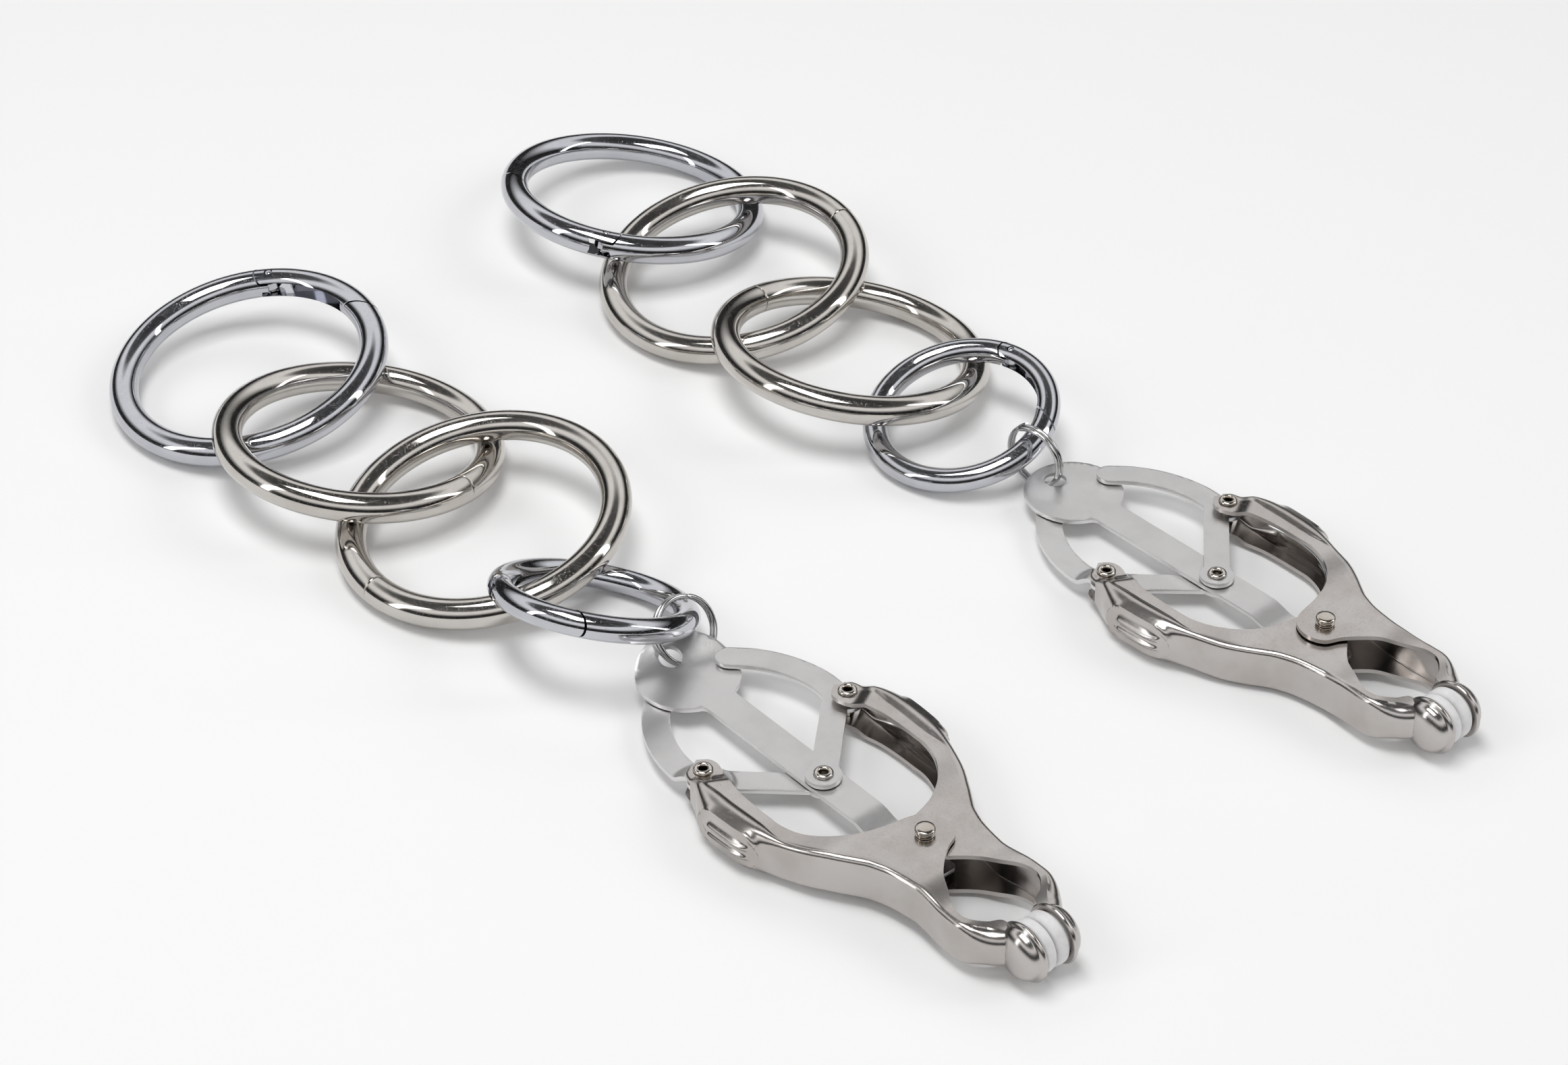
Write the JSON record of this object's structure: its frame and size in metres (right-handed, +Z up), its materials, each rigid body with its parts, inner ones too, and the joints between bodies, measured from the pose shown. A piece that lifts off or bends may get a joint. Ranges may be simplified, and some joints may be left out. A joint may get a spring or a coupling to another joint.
{
  "type": "chain clamp pair",
  "caption": "Matched pair of squeeze clamps with padded jaws, each trailing a chain of linked metal rings with spring gates",
  "frame": {"origin": "middle of the footprint of the whole pair, on the surface it lies on", "axes": "+Y runs from the clamps towards the ends of the ring chains, +X from the first chain to the second, +Z up"},
  "size_m": [0.1294, 0.2192, 0.0167],
  "materials": {
    "satin_steel": "satin stamped steel",
    "brushed_sheet": "finely brushed sheet steel",
    "warm_nickel": "polished nickel plate, slightly warm",
    "bright_chrome": "polished chrome plate",
    "rivet_nickel": "polished nickel plate",
    "spring_wire": "bright drawn wire",
    "rubber": "white matt rubber"
  },
  "bodies": {
    "a_pivot": {"a_pivot_pin": "rivet_nickel", "a_torsion_spring": "spring_wire"},
    "a_left_handle": {"a_left_lever": "satin_steel", "a_left_pad": "rubber", "a_left_rivet": "rivet_nickel"},
    "a_right_handle": {"a_right_lever": "satin_steel", "a_right_pad": "rubber", "a_right_rivet": "rivet_nickel"},
    "a_plate": {"a_pull_plate": "brushed_sheet", "a_centre_rivet": "rivet_nickel"},
    "a_left_arm": {"a_left_link": "brushed_sheet"},
    "a_right_arm": {"a_right_link": "brushed_sheet"},
    "a_split": {"a_split_ring": "spring_wire"},
    "a_small": {"a_small_gate_ring": "bright_chrome", "a_small_gate_pin": "bright_chrome", "a_small_gate_spring": "spring_wire"},
    "a_small_latch": {"a_small_gate": "bright_chrome"},
    "a_near": {"a_near_o_ring": "warm_nickel"},
    "a_far": {"a_far_o_ring": "warm_nickel"},
    "a_large": {"a_large_gate_ring": "bright_chrome", "a_large_gate_pin": "bright_chrome", "a_large_gate_spring": "spring_wire"},
    "a_large_latch": {"a_large_gate": "bright_chrome"},
    "b_pivot": {"b_pivot_pin": "rivet_nickel", "b_torsion_spring": "spring_wire"},
    "b_left_handle": {"b_left_lever": "satin_steel", "b_left_pad": "rubber", "b_left_rivet": "rivet_nickel"},
    "b_right_handle": {"b_right_lever": "satin_steel", "b_right_pad": "rubber", "b_right_rivet": "rivet_nickel"},
    "b_plate": {"b_pull_plate": "brushed_sheet", "b_centre_rivet": "rivet_nickel"},
    "b_left_arm": {"b_left_link": "brushed_sheet"},
    "b_right_arm": {"b_right_link": "brushed_sheet"},
    "b_split": {"b_split_ring": "spring_wire"},
    "b_small": {"b_small_gate_ring": "bright_chrome", "b_small_gate_pin": "bright_chrome", "b_small_gate_spring": "spring_wire"},
    "b_small_latch": {"b_small_gate": "bright_chrome"},
    "b_near": {"b_near_o_ring": "warm_nickel"},
    "b_far": {"b_far_o_ring": "warm_nickel"},
    "b_large": {"b_large_gate_ring": "bright_chrome", "b_large_gate_pin": "bright_chrome", "b_large_gate_spring": "spring_wire"},
    "b_large_latch": {"b_large_gate": "bright_chrome"}
  },
  "joints": [
    {"name": "a_left_open", "type": "hinge", "parent": "a_pivot", "child": "a_left_handle", "pos_m": [-0.03501, -0.07685, 0.00453], "axis": [-0.0002, -0.0192, -0.9998], "range_deg": [0, 10], "stiffness_Nm_per_rad": 0.02, "springref_deg": -11.46},
    {"name": "a_right_open", "type": "hinge", "parent": "a_pivot", "child": "a_right_handle", "pos_m": [-0.03501, -0.07685, 0.00453], "axis": [0.0002, 0.0192, 0.9998], "range_deg": [0, 10]},
    {"name": "a_plate_slide", "type": "slide", "parent": "a_pivot", "child": "a_plate", "axis": [-0.0105, -0.9998, 0.0192], "range_m": [0, 0.00299], "deforming": ["a_torsion_spring"]},
    {"name": "a_left_arm_swing", "type": "hinge", "parent": "a_left_handle", "child": "a_left_arm", "pos_m": [-0.04853, -0.04399, 0.0039], "axis": [-0.0002, -0.0192, -0.9998], "range_deg": [0, 15.4]},
    {"name": "a_right_arm_swing", "type": "hinge", "parent": "a_right_handle", "child": "a_right_arm", "pos_m": [-0.02081, -0.04428, 0.0039], "axis": [0.0002, 0.0192, 0.9998], "range_deg": [0, 15.4]},
    {"name": "a_split_swing", "type": "hinge", "parent": "a_plate", "child": "a_split", "pos_m": [-0.03441, -0.01896, 0.00371], "axis": [0.0509, -0.8456, 0.5314], "range_deg": [-3, 3]},
    {"name": "a_small_swing", "type": "hinge", "parent": "a_split", "child": "a_small", "pos_m": [-0.0301, -0.01718, 0.00613], "axis": [1, 0, 0], "range_deg": [-6, 12]},
    {"name": "a_near_swing", "type": "hinge", "parent": "a_small", "child": "a_near", "pos_m": [-0.03727, 0.00638, 0.00735], "axis": [0.9992, -0.0401, 0], "range_deg": [-12, 8]},
    {"name": "a_far_swing", "type": "hinge", "parent": "a_near", "child": "a_far", "pos_m": [-0.038, 0.04062, 0.00633], "axis": [0.9951, 0.0993, 0], "range_deg": [-15, 20]},
    {"name": "a_large_swing", "type": "hinge", "parent": "a_far", "child": "a_large", "pos_m": [-0.04033, 0.07063, 0.00631], "axis": [0.9984, 0.0558, 0], "range_deg": [-15, 20]},
    {"name": "a_small_gate_open", "type": "hinge", "parent": "a_small", "child": "a_small_latch", "pos_m": [-0.04985, 0.00245, 0.0123], "axis": [-0.3948, -0.1753, -0.9019], "range_deg": [0, 30], "stiffness_Nm_per_rad": 0.002},
    {"name": "a_large_gate_open", "type": "hinge", "parent": "a_large", "child": "a_large_latch", "pos_m": [-0.02621, 0.10083, 0.00897], "axis": [-0.1766, 0, 0.9843], "range_deg": [0, 30], "stiffness_Nm_per_rad": 0.004},
    {"name": "second_chain_lift", "type": "slide", "parent": "a_pivot", "child": "b_pivot", "axis": [0, 0, 1], "range_m": [0, 0.1]},
    {"name": "b_left_open", "type": "hinge", "parent": "b_pivot", "child": "b_left_handle", "pos_m": [0.04309, -0.08155, 0.00453], "axis": [0.0002, -0.0192, -0.9998], "range_deg": [0, 10], "stiffness_Nm_per_rad": 0.02, "springref_deg": -11.46},
    {"name": "b_right_open", "type": "hinge", "parent": "b_pivot", "child": "b_right_handle", "pos_m": [0.04309, -0.08155, 0.00453], "axis": [-0.0002, 0.0192, 0.9998], "range_deg": [0, 10]},
    {"name": "b_plate_slide", "type": "slide", "parent": "b_pivot", "child": "b_plate", "axis": [0.0105, -0.9998, 0.0192], "range_m": [0, 0.00299], "deforming": ["b_torsion_spring"]},
    {"name": "b_left_arm_swing", "type": "hinge", "parent": "b_left_handle", "child": "b_left_arm", "pos_m": [0.02888, -0.04897, 0.0039], "axis": [0.0002, -0.0192, -0.9998], "range_deg": [0, 15.4]},
    {"name": "b_right_arm_swing", "type": "hinge", "parent": "b_right_handle", "child": "b_right_arm", "pos_m": [0.0566, -0.04868, 0.0039], "axis": [-0.0002, 0.0192, 0.9998], "range_deg": [0, 15.4]},
    {"name": "b_split_swing", "type": "hinge", "parent": "b_plate", "child": "b_split", "pos_m": [0.04248, -0.02367, 0.00307], "axis": [0.9934, 0.1149, -0.002], "range_deg": [-12, 12]},
    {"name": "b_small_swing", "type": "hinge", "parent": "b_split", "child": "b_small", "pos_m": [0.04199, -0.01934, 0.006], "axis": [1, 0, 0], "range_deg": [-12, 20]},
    {"name": "b_near_swing", "type": "hinge", "parent": "b_small", "child": "b_near", "pos_m": [0.04006, 0.00494, 0.00641], "axis": [0.9979, 0.0645, 0], "range_deg": [-15, 20]},
    {"name": "b_far_swing", "type": "hinge", "parent": "b_near", "child": "b_far", "pos_m": [0.03942, 0.03874, 0.00661], "axis": [0.9995, -0.0314, 0], "range_deg": [-15, 20]},
    {"name": "b_large_swing", "type": "hinge", "parent": "b_far", "child": "b_large", "pos_m": [0.04059, 0.06986, 0.00659], "axis": [0.999, -0.0436, 0], "range_deg": [-15, 20]},
    {"name": "b_small_gate_open", "type": "hinge", "parent": "b_small", "child": "b_small_latch", "pos_m": [0.05439, -0.00074, 0.0103], "axis": [-0.2841, 0, 0.9588], "range_deg": [0, 30], "stiffness_Nm_per_rad": 0.002},
    {"name": "b_large_gate_open", "type": "hinge", "parent": "b_large", "child": "b_large_latch", "pos_m": [0.02461, 0.07166, 0.00977], "axis": [0.1895, 0, 0.9819], "range_deg": [0, 30], "stiffness_Nm_per_rad": 0.004}
  ],
  "couplings": [
    {"joint": "a_left_open", "follows": "a_plate_slide", "rad_per_m": 58.382},
    {"joint": "a_right_open", "follows": "a_plate_slide", "rad_per_m": 58.382},
    {"joint": "a_left_arm_swing", "follows": "a_plate_slide", "rad_per_m": 89.335},
    {"joint": "a_right_arm_swing", "follows": "a_plate_slide", "rad_per_m": 89.335},
    {"joint": "b_left_open", "follows": "b_plate_slide", "rad_per_m": 58.382},
    {"joint": "b_right_open", "follows": "b_plate_slide", "rad_per_m": 58.382},
    {"joint": "b_left_arm_swing", "follows": "b_plate_slide", "rad_per_m": 89.335},
    {"joint": "b_right_arm_swing", "follows": "b_plate_slide", "rad_per_m": 89.335}
  ]
}
